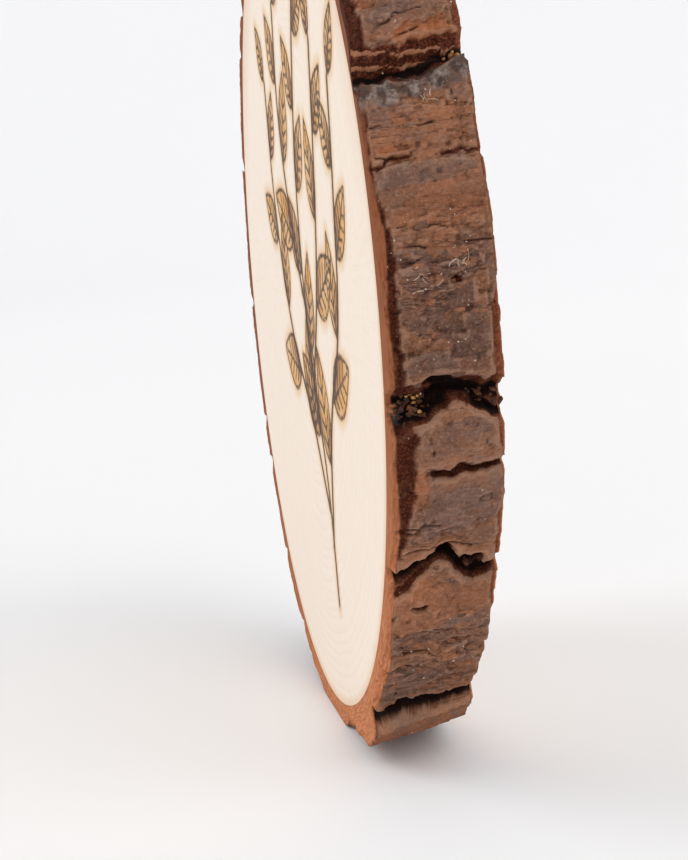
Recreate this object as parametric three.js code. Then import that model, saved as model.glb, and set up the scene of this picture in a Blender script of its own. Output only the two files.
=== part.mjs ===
import * as THREE from 'three';

// A slice sawn across a pine log: a flat disc of wood with its bark still on.
// It stands on its rim. Y is along the log, the decorated cut faces -Y, and the origin is under the pith.
// Angles round the rim are in degrees, 0 at +X and 90 at the top.

const THICKNESS = 15; // between the two saw cuts
const WOOD_RADIUS = 66.6; // pith to the inside of the bark, on average
const WOOD_OUT_OF_ROUND = 0.55; // how far the wood's outline strays from a circle
const BARK_THICKNESS = 5.0; // of a usual plate
const FOOT_THICKNESS = 3.5; // of the bark under the flat patch that it stands on
const BARK_LEAST = 0.9; // left at the bottom of a furrow
const FLAKE = 0.42; // thickness of one sheet of bark
const FOOT_WIDTH = 20; // flat patch worn on the plate that it stands on
const CHIPPED_DEPTH = 0.7; // outer sheets lost along the saw cuts
const BEVEL_FRONT = 0.7; // sanded arris of the decorated cut, on average
const BEVEL_BACK = 0.3; // the same at the other cut
const SEGMENTS = 360; // steps round the rim
const ROWS = [-7.5, -6.9, -6.1, -5.2, -4, -2.5, -0.9, 0.8, 2.5, 4.2, 5.6, 6.8, 7.5]; // stations along the log

const OUTER_RADIUS = WOOD_RADIUS + BARK_THICKNESS;
const MM_PER_DEGREE = (Math.PI / 180) * OUTER_RADIUS;

// Furrows that split the bark into plates. A path lists [along the log, angle round the rim].
// depth is in mm, above and below are the widths of the two sides, and from and to limit a short one.
// A ledge is how far the plate below it stands out, at the decorated cut and at the other one.
const FURROWS = [
  { path: [[-7.5, 26.7], [-0.6, 26.9], [2.2, 27.8], [7.5, 29.7]], depth: 3.9, above: 5.2, below: 2.6 },
  { path: [[-7.5, 16.3], [-2.4, 16.6], [0, 17]], depth: 1.1, above: 0.6, below: 1.2, to: -1.5 },
  { path: [[0, 17.1], [3, 17.4], [7.5, 17.6]], depth: 1.1, above: 0.6, below: 1.2, from: 1.5 },
  { path: [[-7.5, -9.2], [-3, -8.8], [-1, -7.9], [0.6, -7.6], [3.7, -7.8], [7.5, -8.5]],
    depth: 4.0, above: 1.7, below: 2.0 },
  { path: [[-7.5, -10.8], [-4, -10.2], [-1.5, -9.2], [0.5, -8.2]],
    depth: 3.4, above: 2.0, below: 1.5, to: 0 },
  { path: [[2.5, -8.4], [4.5, -9.4], [7.5, -10.6]], depth: 2.8, above: 1.5, below: 1.2, from: 3 },
  { path: [[-3, -16.6], [0, -16.6], [7.5, -16.3]], depth: 1.8, above: 1.3, below: 0.7, from: -2.6 },
  { path: [[-7.5, -23.6], [-2, -22.6]], depth: 0.9, above: 0.5, below: 0.9, to: -2.5 },
  { path: [[-7.5, -30.8], [-4.2, -29.2], [-1, -27.5], [0.7, -27.8], [2.2, -29.7], [4.1, -31.2], [7.5, -29.4]],
    depth: 3.9, above: 2.4, below: 1.3 },
  { path: [[-7.5, -46.7], [-4.8, -45.4], [0, -44.6]], depth: 1.4, above: 1.1, below: 1.3, to: -2.5 },
  { path: [[-1, -41.8], [5, -41.2]], depth: 1.0, above: 1.0, below: 1.2, from: 0, to: 4.5 },
  { path: [[-7.5, -58.2], [-5.9, -56.4], [-3.9, -54.9], [-1.4, -53.9], [3.3, -53.2], [7.5, -52.4]],
    depth: 3.8, above: 1.1, below: 1.2, ledge: [3.3, 2.1] },
];

// Hollows where bark has come away: [along the log, angle, half length, half height, depth].
const HOLLOWS = [
  [-1.1, -7.2, 2.3, 1.1, 3.4],
  [3.6, -28.8, 2.3, 2.0, 3.2],
  [1.7, 4.6, 2.2, 1.5, 1.3],
  [-3.2, -35, 1.3, 0.8, 1.2],
  [5, -20.2, 1.4, 0.9, 0.6],
];

// How the bark stands round the rim, by angle. Each row is [angle, thickness at the decorated cut,
// thickness at the other cut, width chipped at the decorated cut, width chipped at the other cut].
const PLATES = [
  [-120, 5.6, 5.6, 1.0, 0.5],
  [-100, 4.9, 4.9, 1.0, 0.5],
  [-80, 4.4, 4.3, 0.6, 0.4],
  [-66, 4.8, 3.7, 0.3, 0.3],
  [-51, 4.8, 3.6, 0.3, 0.3],
  [-34, 5.2, 4.1, 0.4, 0.4],
  [-26, 5.2, 4.5, 1.1, 0.7],
  [-20, 5.7, 5.4, 2.4, 0.8],
  [-10, 5.8, 5.6, 2.3, 1.0],
  [-2, 6.1, 5.5, 2.0, 1.3],
  [6, 5.7, 5.2, 1.3, 1.3],
  [12, 4.6, 4.9, 0.7, 1.2],
  [18, 4.5, 4.2, 0.5, 1.0],
  [24, 4.7, 4.5, 0.4, 0.6],
  [29, 5.6, 5.4, 1.0, 0.6],
  [34, 5.9, 5.6, 1.2, 0.6],
  [60, 5.6, 5.6, 1.0, 0.5],
];

// The rest of the rim has furrows by a rule.
const FAR_SIDE_START = 46;
const FAR_SIDE_END = 256;
const FAR_SIDE_SPACING = 17;

const smooth = THREE.MathUtils.smoothstep;
const wrap = (deg) => THREE.MathUtils.euclideanModulo(deg + 180, 360) - 180;

// Repeatable random number from 0 to 1 for a lattice point.
function hash(x, y, seed) {
  let h = (Math.imul(x, 374761393) + Math.imul(y, 668265263) + Math.imul(seed, 974711)) | 0;
  h = Math.imul(h ^ (h >>> 13), 1274126177);
  return ((h ^ (h >>> 16)) >>> 0) / 4294967296;
}

// Smooth random relief from 0 to 1 with a whole number of cells round the rim.
function relief(deg, along, cells, seed) {
  const u = (THREE.MathUtils.euclideanModulo(deg, 360) / 360) * cells;
  const column = Math.floor(u);
  const row = Math.floor(along);
  const fu = smooth(u - column, 0, 1);
  const fv = smooth(along - row, 0, 1);
  const next = (column + 1) % cells;
  const low = THREE.MathUtils.lerp(hash(column, row, seed), hash(next, row, seed), fu);
  const high = THREE.MathUtils.lerp(hash(column, row + 1, seed), hash(next, row + 1, seed), fu);
  return THREE.MathUtils.lerp(low, high, fv);
}

function farSideFurrows() {
  const list = [];
  for (let k = 0; FAR_SIDE_START + k * FAR_SIDE_SPACING < FAR_SIDE_END; k++) {
    const middle = FAR_SIDE_START + (k + 0.6 * (hash(k, 1, 5) - 0.5)) * FAR_SIDE_SPACING;
    const lean = 7 * (hash(k, 2, 5) - 0.5);
    const kink = 5 * (hash(k, 3, 5) - 0.5);
    list.push({
      path: [[-7.5, middle - lean], [-1 + 4 * (hash(k, 4, 5) - 0.5), middle + kink], [7.5, middle + lean]],
      depth: 1.7 + 1.9 * hash(k, 6, 5),
      above: 1.2 + 2.2 * hash(k, 7, 5),
      below: 1.2 + 1.2 * hash(k, 8, 5),
    });
  }
  return list;
}

const ALL_FURROWS = FURROWS.concat(farSideFurrows());

// Reads one column of a table of rows sorted by their first number.
function lookUp(rows, x, column) {
  const after = rows.findIndex((row) => row[0] >= x);
  if (after < 0) return rows[rows.length - 1][column];
  if (after === 0) return rows[0][column];
  const low = rows[after - 1];
  const high = rows[after];
  return THREE.MathUtils.mapLinear(x, low[0], high[0], low[column], high[column]);
}

// Distance round the rim from a furrow's ragged middle line, positive above it.
function awayFrom(furrow, deg, t) {
  const ragged = 1.3 * (relief(deg, t / 1.6, 150, 21) - 0.5);
  return wrap(deg - lookUp(furrow.path, t, 1)) * MM_PER_DEGREE + ragged;
}

function furrowDepth(deg, t) {
  let depth = 0;
  for (const furrow of ALL_FURROWS) {
    const away = awayFrom(furrow, deg, t);
    const fall = 1 - Math.abs(away) / (away > 0 ? furrow.above : furrow.below);
    if (fall <= 0) continue;
    const start = smooth(t, (furrow.from ?? -20) - 1, (furrow.from ?? -20) + 1);
    const stop = 1 - smooth(t, (furrow.to ?? 20) - 1, (furrow.to ?? 20) + 1);
    depth = Math.max(depth, furrow.depth * Math.pow(fall, 0.75) * start * stop);
  }
  for (const [along, angle, halfLength, halfHeight, hollow] of HOLLOWS) {
    const far = Math.hypot((t - along) / halfLength, (wrap(deg - angle) * MM_PER_DEGREE) / halfHeight);
    depth = Math.max(depth, hollow * (1 - smooth(far, 0.5, 1.1)));
  }
  return depth;
}

// Outer sheets broken away along the two saw cuts.
function chippedDepth(deg, t) {
  const ragged = 0.8 * (relief(deg, t, 170, 32) - 0.5);
  const front = lookUp(PLATES, wrap(deg), 3) * (0.6 + 0.8 * relief(deg, 0, 60, 31)) + ragged;
  const back = lookUp(PLATES, wrap(deg), 4) * (0.6 + 0.8 * relief(deg, 0, 60, 33));
  const lostFront = 1 - smooth(t + THICKNESS / 2, front - 0.25, front + 0.25);
  const lostBack = 1 - smooth(THICKNESS / 2 - t, back - 0.2, back + 0.2);
  return CHIPPED_DEPTH * Math.max(lostFront, lostBack);
}

// Arris taken off by sanding along the two saw cuts.
function bevelDepth(deg, t) {
  const front = BEVEL_FRONT * (0.4 + 1.2 * relief(deg, 0, 48, 35));
  return Math.max(0, front - (t + THICKNESS / 2), BEVEL_BACK - (THICKNESS / 2 - t));
}

// Top of a plate, before wear and furrows.
function plateTop(deg, t) {
  const share = t / THICKNESS + 0.5;
  const plain = THREE.MathUtils.lerp(lookUp(PLATES, wrap(deg), 1), lookUp(PLATES, wrap(deg), 2), share);
  let top = plain + 0.6 * (relief(deg, 0.5, 22, 41) - 0.5);
  for (const furrow of FURROWS) {
    if (!furrow.ledge) continue;
    const below = -awayFrom(furrow, deg, t);
    const rise = THREE.MathUtils.lerp(furrow.ledge[0], furrow.ledge[1], share);
    top += rise * smooth(below, 0.2, 1.2) * (1 - smooth(below, 5, 22));
  }
  return top;
}

// Thickness of the bark at one point of the rim.
// The relief is cut into level sheets, so every slope is a flight of thin broken edges.
function barkThickness(deg, t) {
  const worn = 1.0 * relief(deg, t / 10, 74, 42) + 0.55 * relief(deg, t / 5, 180, 43);
  const raw = plateTop(deg, t) - worn - furrowDepth(deg, t) - chippedDepth(deg, t);
  const sheets = raw / FLAKE;
  const level = FLAKE * (Math.floor(sheets) + smooth(sheets - Math.floor(sheets), 0, 0.3));
  const foot = 1 - smooth(Math.abs(wrap(deg + 90)), 9, 13);
  return Math.max(BARK_LEAST, THREE.MathUtils.lerp(level - bevelDepth(deg, t), FOOT_THICKNESS, foot));
}

function woodRadius(deg) {
  const a = THREE.MathUtils.degToRad(deg);
  return WOOD_RADIUS + WOOD_OUT_OF_ROUND * (0.7 * Math.cos(a + 1.1) + 0.3 * Math.cos(3 * a + 0.4));
}

// The rim is set so that a patch FOOT_WIDTH wide is level with the table.
const FOOT_RADIUS = woodRadius(-90) + FOOT_THICKNESS;
const PITH_HEIGHT = Math.sqrt(FOOT_RADIUS ** 2 - (FOOT_WIDTH / 2) ** 2);

const ANGLES = Array.from({ length: SEGMENTS }, (_, i) => (i * 360) / SEGMENTS);

function rimPoint(deg, radius, t) {
  const a = THREE.MathUtils.degToRad(deg);
  return [radius * Math.cos(a), t, Math.max(0, PITH_HEIGHT + radius * Math.sin(a))];
}

// Joins closed loops of points, each to the next, into one strip of triangles per pair.
function strip(index, from, to) {
  for (let i = 0; i < SEGMENTS; i++) {
    const j = (i + 1) % SEGMENTS;
    index.push(from + i, to + i, to + j, from + i, to + j, from + j);
  }
}

function makeMesh(name, points, index, colour, roughness) {
  const geometry = new THREE.BufferGeometry();
  geometry.setAttribute('position', new THREE.Float32BufferAttribute(points.flat(), 3));
  geometry.setIndex(index);
  geometry.computeVertexNormals();
  const material = new THREE.MeshStandardMaterial({ color: colour, roughness, metalness: 0 });
  const mesh = new THREE.Mesh(geometry, material);
  mesh.name = name;
  return mesh;
}

// The disc of wood: two flat cuts and the smooth side that the bark grew on.
function makeWood() {
  const half = THICKNESS / 2;
  const front = ANGLES.map((deg) => rimPoint(deg, woodRadius(deg), -half));
  const back = ANGLES.map((deg) => rimPoint(deg, woodRadius(deg), half));
  const points = [...front, ...back, [0, -half, PITH_HEIGHT], [0, half, PITH_HEIGHT]];
  const index = [];
  strip(index, 0, SEGMENTS);
  for (let i = 0; i < SEGMENTS; i++) {
    const j = (i + 1) % SEGMENTS;
    index.push(i, j, 2 * SEGMENTS);
    index.push(SEGMENTS + j, SEGMENTS + i, 2 * SEGMENTS + 1);
  }
  return makeMesh('wood', points, index, 0xf2e1cc, 0.7);
}

// The ring of bark: its relief outside, the wood's own outline inside, and the two cuts.
function makeBark() {
  const half = THICKNESS / 2;
  const points = [];
  const index = [];
  for (const t of ROWS) {
    for (const deg of ANGLES) points.push(rimPoint(deg, woodRadius(deg) + barkThickness(deg, t), t));
  }
  for (const deg of ANGLES) points.push(rimPoint(deg, woodRadius(deg), half));
  for (const deg of ANGLES) points.push(rimPoint(deg, woodRadius(deg), -half));
  const loops = ROWS.length + 2;
  for (let row = 0; row < loops; row++) strip(index, row * SEGMENTS, ((row + 1) % loops) * SEGMENTS);
  return makeMesh('bark', points, index, 0x71503f, 0.9);
}

const slice = new THREE.Group();
slice.name = 'wood_slice';
slice.add(makeWood(), makeBark());

export default slice;
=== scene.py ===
import math

import bmesh
import bpy
import numpy as np
from mathutils import Matrix, Vector


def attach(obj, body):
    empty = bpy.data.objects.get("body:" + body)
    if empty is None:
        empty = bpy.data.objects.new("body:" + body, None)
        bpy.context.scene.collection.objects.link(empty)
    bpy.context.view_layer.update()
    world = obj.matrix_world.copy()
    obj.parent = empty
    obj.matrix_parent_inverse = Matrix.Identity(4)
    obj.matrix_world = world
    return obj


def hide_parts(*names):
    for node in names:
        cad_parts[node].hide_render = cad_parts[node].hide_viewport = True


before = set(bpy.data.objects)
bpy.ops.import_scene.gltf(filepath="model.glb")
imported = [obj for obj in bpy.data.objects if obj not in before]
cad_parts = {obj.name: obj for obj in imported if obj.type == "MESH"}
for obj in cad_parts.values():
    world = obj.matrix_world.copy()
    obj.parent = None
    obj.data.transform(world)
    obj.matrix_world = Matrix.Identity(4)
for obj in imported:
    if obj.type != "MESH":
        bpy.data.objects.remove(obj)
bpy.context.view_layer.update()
print("frame loaded")

mm = 0.001


def pick(sockets, key):  # by place, identifier or name
    if isinstance(key, int):
        return sockets[key]
    return next((s for s in sockets if s.identifier == key), None) or sockets[key]


def feed(tree, target, value):
    if isinstance(value, bpy.types.NodeSocket):
        tree.links.new(value, target)
    else:
        target.default_value = value


def addNode(tree, kind, settings, links):
    node = tree.nodes.new(kind)
    for key, value in (settings or {}).items():
        setattr(node, key, value)
    for key, value in (links or {}).items():
        feed(tree, pick(node.inputs, key), getattr(value, "socket", value))
    return node


# shader sums as Python expressions
class Value:
    def __init__(self, finish, socket):
        self.finish = finish
        self.socket = socket

    def math(self, operation, first, second=0.0):
        return self.finish.node("ShaderNodeMath", {"operation": operation}, {0: first, 1: second})

    def __add__(self, other):
        return self.math("ADD", self, other)

    def __sub__(self, other):
        return self.math("SUBTRACT", self, other)

    def __rsub__(self, other):
        return self.math("SUBTRACT", other, self)

    def __mul__(self, other):
        return self.math("MULTIPLY", self, other)

    def __truediv__(self, other):
        return self.math("DIVIDE", self, other)

    def __pow__(self, other):
        return self.math("POWER", self, other)

    __radd__ = __add__
    __rmul__ = __mul__

    def least(self, other):
        return self.math("MINIMUM", self, other)

    def fraction(self):
        return self.math("FRACT", self)

    def size(self):
        return self.math("ABSOLUTE", self)

    def ease(self, low, high):  # 0 at low, 1 at high, smooth between
        settings = {"interpolation_type": "SMOOTHSTEP"}
        return self.finish.node("ShaderNodeMapRange", settings, {0: self, 1: low, 2: high})


class Finish:
    def __init__(self, name):
        self.material = bpy.data.materials.new(name)
        self.material.use_nodes = True
        self.tree = self.material.node_tree
        self.shader = self.tree.nodes["Principled BSDF"]

    def node(self, kind, settings=None, links=None, out=0):
        return Value(self, addNode(self.tree, kind, settings, links).outputs[out])

    def set(self, **inputs):
        for key, value in inputs.items():
            feed(self.tree, self.shader.inputs[key.replace("_", " ")], getattr(value, "socket", value))

    def place(self, stretch=(1, 1, 1)):  # object coordinates in millimetres
        spot = self.node("ShaderNodeTexCoord", out="Object")
        scale = tuple(1000 * s for s in stretch)
        return self.node("ShaderNodeMapping", links={"Vector": spot, "Scale": scale})

    def split(self, vector):
        parts = self.node("ShaderNodeSeparateXYZ", links={0: vector})
        outs = parts.socket.node.outputs
        return [Value(self, outs[i]) for i in range(3)]

    def join(self, x, y, z):
        return self.node("ShaderNodeCombineXYZ", links={0: x, 1: y, 2: z})

    def noise(self, vector, scale, detail=3.0, rough=0.55):
        sockets = {"Vector": vector, "Scale": scale, "Detail": detail, "Roughness": rough}
        return self.node("ShaderNodeTexNoise", links=sockets)

    def cells(self, vector, scale, out="Distance"):
        return self.node("ShaderNodeTexVoronoi", links={"Vector": vector, "Scale": scale}, out=out)

    def attribute(self, name):
        return self.node("ShaderNodeAttribute", {"attribute_name": name}, out="Fac")

    def mix(self, amount, first, second):
        return self.node("ShaderNodeMix", {"data_type": "RGBA"}, {0: amount, 6: first, 7: second}, 2)

    def coats(self, colour, layers):  # thin coats over a colour, each an amount and a screen colour
        for amount, screen in layers:
            colour = self.mix(amount, colour, tone(*screen))
        return colour

    def bump(self, height, distance, strength=1.0):
        sockets = {"Height": height, "Distance": distance, "Strength": strength}
        return self.node("ShaderNodeBump", links=sockets)


def tone(red, green, blue):  # screen colour, 0 to 255, as linear light
    def linear(c):
        c = c / 255
        return c / 12.92 if c <= 0.04045 else ((c + 0.055) / 1.055) ** 2.4
    return (linear(red), linear(green), linear(blue), 1.0)


# geometry nodes as Python expressions
class Tree:
    def __init__(self, name, inputs):
        self.group = bpy.data.node_groups.new(name, "GeometryNodeTree")
        face = self.group.interface
        self.keys = {}
        for label, kind in inputs.items():
            socket = face.new_socket(label, in_out="INPUT", socket_type="NodeSocket" + kind)
            self.keys[label] = socket.identifier
        face.new_socket("Geometry", in_out="OUTPUT", socket_type="NodeSocketGeometry")
        self.start = self.group.nodes.new("NodeGroupInput")
        self.end = self.group.nodes.new("NodeGroupOutput")

    def given(self, label):
        return self.start.outputs[label]

    def node(self, kind, settings=None, links=None, out=0):
        return pick(addNode(self.group, kind, settings, links).outputs, out)

    def math(self, operation, first, second=0.0):
        return self.node("ShaderNodeMath", {"operation": operation}, {0: first, 1: second})

    def times(self, first, second):
        return self.math("MULTIPLY", first, second)

    def store(self, geometry, name, value, domain="POINT"):
        settings = {"data_type": "FLOAT", "domain": domain}
        sockets = {"Geometry": geometry, "Name": name, "Value": value}
        return self.node("GeometryNodeStoreNamedAttribute", settings, sockets)

    def named(self, name):
        return self.node("GeometryNodeInputNamedAttribute", {"data_type": "FLOAT"}, {"Name": name})

    def random(self, low, high, seed):
        sockets = {"Min_001": low, "Max_001": high, "Seed": seed}
        return self.node("FunctionNodeRandomValue", {"data_type": "FLOAT"}, sockets, "Value_001")

    def shape(self, label):
        sockets = {"Object": self.given(label)}
        return self.node("GeometryNodeObjectInfo", {"transform_space": "RELATIVE"}, sockets, "Geometry")

    def finish(self, geometry, material):
        real = self.node("GeometryNodeRealizeInstances", links={"Geometry": geometry})
        done = self.node("GeometryNodeSetMaterial", links={"Geometry": real, "Material": material})
        self.group.links.new(done, self.end.inputs[0])


def growMesh(name, carrier, tree, inputs):  # runs a tree on a carrier and keeps the plain mesh
    modifier = carrier.modifiers.new(name, "NODES")
    modifier.node_group = tree.group
    for label, value in inputs.items():
        modifier[tree.keys[label]] = value
    carrier.update_tag()
    graph = bpy.context.evaluated_depsgraph_get()
    mesh = bpy.data.meshes.new_from_object(carrier.evaluated_get(graph))
    mesh.name = name
    carrier.modifiers.remove(modifier)
    return mesh


def helper(name, data):
    piece = bpy.data.objects.new(name, data)
    bpy.context.scene.collection.objects.link(piece)
    return piece


def plainPiece(name, points, edges, faces):
    mesh = bpy.data.meshes.new(name)
    mesh.from_pydata(points, edges, faces)
    return helper(name, mesh)


# camera, in the slice's own frame
view = {
    "spot": (0.31892, -0.0535, 0.09197),
    "aim": (0.02561, -0.00654, 0.04996),
    "roll": -4.396,
    "lens": 83.72,
}


def makeCamera():
    camera = helper("camera", bpy.data.cameras.new("camera"))
    camera.data.lens = view["lens"]
    camera.data.sensor_width = 36
    camera.data.clip_start = 0.01
    spot = Vector(view["spot"])
    ahead = (Vector(view["aim"]) - spot).normalized()
    turn = ahead.to_track_quat("-Z", "Y").to_matrix().to_4x4()
    roll = Matrix.Rotation(math.radians(view["roll"]), 4, "Z")
    camera.matrix_world = Matrix.Translation(spot) @ turn @ roll
    bpy.context.scene.camera = camera


makeCamera()
print("camera set")

# the slice's own sizes, in millimetres
sizes = {
    "thickness": 15.0,
    "woodRadius": 66.6,
    "outOfRound": 0.55,
    "barkThickness": 5.0,
    "footThickness": 3.5,
    "barkLeast": 0.9,
    "flake": 0.42,
    "footWidth": 20.0,
}
half = sizes["thickness"] / 2


def smooth(x, low, high):
    x = np.clip((x - low) / (high - low), 0, 1)
    return x * x * (3 - 2 * x)


def wrap(deg):
    return (deg + 180) % 360 - 180


def woodRadius(deg):
    a = np.radians(deg)
    return sizes["woodRadius"] + sizes["outOfRound"] * (0.7 * np.cos(a + 1.1) + 0.3 * np.cos(3 * a + 0.4))


footRadius = float(woodRadius(-90.0)) + sizes["footThickness"]
pithHeight = math.sqrt(footRadius ** 2 - (sizes["footWidth"] / 2) ** 2)
mmPerDegree = math.radians(1) * (sizes["woodRadius"] + sizes["barkThickness"])


def lattice(x, y, seed):  # repeatable random number from 0 to 1
    mask = 0xFFFFFFFF
    h = (x * 374761393 + y * 668265263 + seed * 974711) & mask
    h = ((h ^ (h >> 13)) * 1274126177) & mask
    return (h ^ (h >> 16)) / 4294967296


def relief(deg, along, cells, seed):  # smooth random relief, whole cells round the rim
    u = (deg % 360) / 360 * cells
    v = along + 0 * u
    u = u + 0 * v
    column = np.floor(u).astype(np.int64)
    row = np.floor(v).astype(np.int64)
    fu = smooth(u - column, 0, 1)
    fv = smooth(v - row, 0, 1)
    nextColumn = (column + 1) % cells
    low = lattice(column, row, seed) * (1 - fu) + lattice(nextColumn, row, seed) * fu
    high = lattice(column, row + 1, seed) * (1 - fu) + lattice(nextColumn, row + 1, seed) * fu
    return low * (1 - fv) + high * fv


# bark: plates between furrows, cut into thin sheets
bark = {
    "aroundSteps": 1760,
    "alongSteps": 35,
    "edgeStrips": ((1, 6), (0.6, 4)),  # width and points of the finer strips at the front and back edges
    "chipDepth": 0.7,
    "bevelFront": 0.7,
    "bevelBack": 0.3,
    "thinSheet": 0.13,
    "farStart": 46,
    "farEnd": 256,
    "farSpacing": 17,
    "footFade": (9, 13),  # degrees from the middle of the flat patch
    "wornArc": ((18, 26), (60, 90)),
    "patches": [  # along the log, angle, half length, half height, rise, warmth, tilt in degrees per mm
        (2.4, 31.0, 3.9, 1.9, -0.2, 1.4, 0.2),
        (-5.2, 34.8, 1.6, 1.3, -0.2, 0.7, 0.0),
        (-1.5, 33.4, 3.4, 0.9, 0.18, -0.6, 0.35),
        (-5.4, 21.2, 1.4, 2.2, 0.16, -0.3, 0.0),
        (1.6, 22.4, 2.8, 1.0, -0.14, 0.3, 0.1),
        (-0.6, 19.4, 3.4, 1.3, 0.14, -0.2, -0.1),
        (-3.6, 18.0, 2.4, 0.6, -0.16, 0.5, 0.1),
        (-0.6, 15.2, 6.6, 1.7, 0.16, -0.4, 0.16),
        (1.4, 11.0, 6.4, 2.3, -0.12, 0.35, 0.0),
        (1.2, 5.0, 1.9, 0.8, 0.7, -0.8, 0.1),
        (-4.2, 6.6, 2.2, 0.7, 0.24, -0.4, 0.0),
        (-3.4, 4.9, 2.0, 0.6, 0.2, -0.3, 0.1),
        (5.0, 2.6, 1.2, 2.4, 0.3, 0.3, 0.0),
        (-2.0, -4.6, 4.6, 1.5, 0.2, -0.6, 0.0),
        (0.2, -12.0, 5.6, 3.2, 0.2, -0.1, 0.0),
        (-3.8, -18.2, 1.3, 2.7, -0.16, 0.6, 0.0),
        (1.4, -21.4, 4.4, 3.0, 0.18, -0.45, 0.1),
        (-1.6, -33.2, 3.0, 3.6, 0.14, 0.35, -0.6),
        (3.6, -35.2, 2.6, 2.6, 0.1, 0.25, 0.0),
        (-4.2, -40.2, 3.4, 1.7, -0.16, -0.5, 0.2),
        (1.8, -43.6, 4.4, 1.4, 0.14, 0.1, -0.1),
        (4.4, -49.0, 2.6, 2.2, -0.2, 0.2, 0.0),
        (-1.6, -62.0, 5.4, 1.7, 0.12, 0.3, -0.1),
    ],
    "grooves": [  # short cracks as (along the log, angle) points
        [(-7.0, 31.3), (-4.6, 31.2), (-1.2, 32.8), (2.0, 33.6)],
        [(-5.0, 30.3), (-2.6, 30.2), (1.4, 31.4)],
        [(4.3, 24.2), (5.0, 22.6), (5.3, 20.0), (5.9, 18.2)],
        [(-6.8, 20.2), (-4.4, 20.5), (-1.0, 20.1), (1.8, 20.6)],
        [(-6.6, 17.0), (-5.4, 16.9), (-4.2, 17.2)],
        [(3.4, 7.7), (5.4, 7.5), (7.4, 7.6)],
        [(-6.2, 7.2), (-3.2, 7.4), (-1.8, 7.0)],
        [(-6.0, 5.8), (-3.6, 5.7), (-1.6, 6.1)],
        [(-5.2, 9.4), (-2.4, 9.1), (-0.4, 9.5), (2.2, 9.0)],
        [(-1.6, -10.8), (-2.6, -12.4), (-2.4, -14.2)],
        [(3.4, -11.2), (5.0, -13.6), (7.4, -15.0)],
        [(-6.6, -22.9), (-1.3, -22.8), (-1.2, -24.6)],
        [(-5.6, -26.2), (-2.4, -25.8), (0.6, -25.4), (3.4, -26.3)],
        [(-6.4, -39.2), (-3.0, -38.6), (0.8, -39.4), (4.6, -38.8)],
        [(-5.8, -42.6), (-2.2, -42.0), (1.2, -43.4), (5.2, -43.0)],
        [(-4.6, -48.4), (-1.0, -47.8), (3.6, -48.6)],
    ],
    "hollows": [  # along the log, angle, half length, half height, depth
        (-1.1, -6.5, 2.3, 1.2, 3.4),
        (3.6, -28.8, 2.3, 2.0, 3.2),
        (2.1, 3.7, 1.2, 0.7, 1.2),
        (-3.2, -35, 1.3, 0.8, 1.2),
        (5, -20.2, 1.4, 0.9, 0.6),
    ],
    "plates": [  # angle, thickness at the front and at the back, width chipped at the front and at the back
        (-120, 5.6, 5.6, 1.0, 0.5),
        (-100, 4.9, 4.9, 1.0, 0.5),
        (-80, 4.4, 4.3, 0.6, 0.4),
        (-66, 4.8, 3.7, 0.3, 0.3),
        (-51, 4.8, 3.6, 0.3, 0.3),
        (-34, 5.2, 4.1, 0.4, 0.4),
        (-26, 5.2, 4.5, 1.1, 0.7),
        (-20, 5.7, 5.4, 2.4, 0.8),
        (-10, 5.8, 5.6, 2.3, 1.0),
        (-2, 6.1, 5.5, 2.0, 1.3),
        (6, 5.7, 5.2, 1.3, 1.3),
        (12, 4.6, 4.9, 0.7, 1.2),
        (18, 4.5, 4.2, 0.5, 1.0),
        (24, 4.7, 4.5, 0.4, 0.6),
        (29, 5.6, 5.4, 1.6, 0.6),
        (34, 5.9, 5.6, 1.8, 0.6),
        (60, 5.6, 5.6, 1.0, 0.5),
    ],
    "moods": [  # angle, warm, dark, flaky, layered
        (60, 0.45, 0.2, 0.35, 0.3),
        (34, 0.42, 0.26, 0.15, 0.4),
        (21, 0.55, 0.0, 0.35, 0.5),
        (14.5, 0.55, 0.0, 0.06, 0.2),
        (11.5, 0.7, 0.6, 0.12, 0.2),
        (8.5, 0.6, 0.15, 0.6, 0.3),
        (4, 0.35, 0.3, 1.0, 0.3),
        (-1.5, 0.35, 0.7, 0.5, 1.0),
        (-5.5, 0.3, 0.65, 0.3, 0.6),
        (-12, 0.45, 0.14, 0.06, 0.1),
        (-20, 0.48, 0.12, 0.08, 0.1),
        (-25, 0.3, 0.2, 0.3, 0.4),
        (-34, 0.65, 0.0, 0.12, 0.15),
        (-40, 0.5, 0.1, 0.5, 0.6),
        (-48, 0.25, 0.2, 0.7, 1.0),
        (-57, 0.55, 0.0, 0.25, 0.4),
        (-66, 0.6, 0.0, 0.25, 0.3),
        (-85, 0.45, 0.2, 0.35, 0.3),
    ],
    # where there are beads of resin, grey ash, crumbled bark and loose fibres: along the log, angle, reach
    "resin": [(-4.6, -9.2, 1.5), (-6.6, -9.9, 0.9), (6.2, 28.9, 1.0)],
    "ash": [(-7.2, 24.0, 3.0), (-4, 24.3, 3.2), (-0.5, 24.7, 3.0), (3, 25.6, 2.8), (6.6, 26.6, 2.6),
            (-7, -10.4, 1.4)],
    "rubble": [(-6.2, -9.8, 1.6), (-3.6, -9.6, 1.6), (4.6, -8.6, 1.4), (6.5, -9.2, 1.2), (3.4, -30.4, 0.9)],
    "threads": [(1.2, 23.0, 1.5), (2.6, 5.6, 1.8), (-2.0, 4.2, 1.4)],
}

usualFurrow = {
    "start": -20,  # start and stop along the log
    "stop": 20,
    "ledge": (0, 0),  # step out below it, at the front and at the back
    "taper": 1.0,  # share of its upper width left at the back
    "black": 1.3,  # reach of the painted shade inside it
    "lip": 0.5,  # how far its upper edge overhangs
    "sheets": (),  # how far above it pale sheet edges run, at the front and at the back
}


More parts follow.
